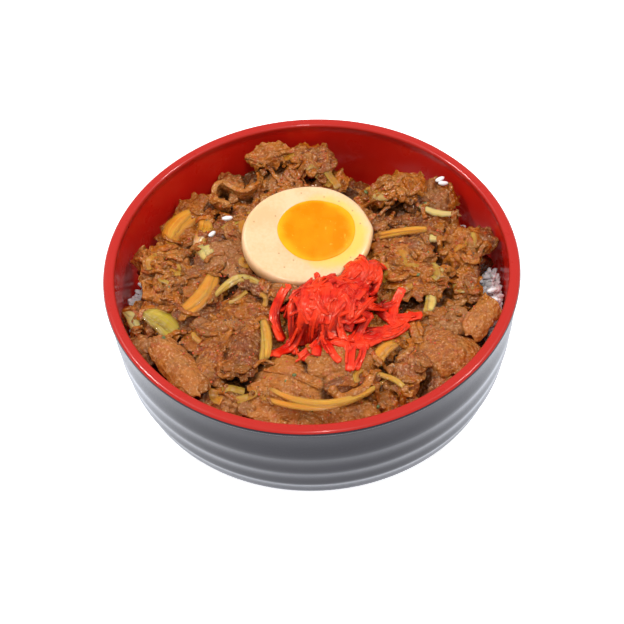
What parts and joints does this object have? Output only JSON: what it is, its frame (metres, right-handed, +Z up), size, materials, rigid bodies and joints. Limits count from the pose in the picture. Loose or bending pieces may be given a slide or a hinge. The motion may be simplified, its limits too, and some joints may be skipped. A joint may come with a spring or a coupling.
{
  "type": "beef rice bowl",
  "caption": "Round donburi bowl with a fluted outer wall, filled with rice under simmered sliced beef and onion, topped with half a boiled egg and red pickled ginger.",
  "frame": {"origin": "centre of the bowl's foot on the table", "axes": "+Z up out of the bowl, -Y towards the person eating, so the egg lies on the +Y half and the ginger in front of it, +X to that person's right"},
  "size_m": [0.176, 0.176, 0.0876],
  "materials": {
    "bowl_melamine": "red inside and on the rim, dark grey and satin outside",
    "steamed_rice": "moist white grains",
    "simmered_beef": "brown, moist with sauce",
    "cooked_onion": "soft, glossy and half clear",
    "egg_white": "cream, satin",
    "egg_yolk": "orange yellow, soft set and moist",
    "red_ginger": "bright red, wet"
  },
  "bodies": {
    "root": {"bowl": "bowl_melamine", "rice": "steamed_rice", "beef": "simmered_beef", "egg_white": "egg_white", "egg_yolk": "egg_yolk", "red_ginger": "red_ginger", "onion_long_front": "cooked_onion", "onion_arc_left": "cooked_onion", "onion_amber_left": "cooked_onion", "onion_petal_left": "cooked_onion", "onion_petal_back": "cooked_onion", "onion_ribbon_back": "cooked_onion", "onion_pale_left": "cooked_onion", "onion_upright": "cooked_onion", "onion_short_front": "cooked_onion", "onion_thread_front": "cooked_onion", "onion_bit_right": "cooked_onion", "onion_amber_right": "cooked_onion", "onion_pale_right": "cooked_onion", "onion_left_edge": "cooked_onion", "onion_chunk_right": "cooked_onion"}
  },
  "joints": []
}
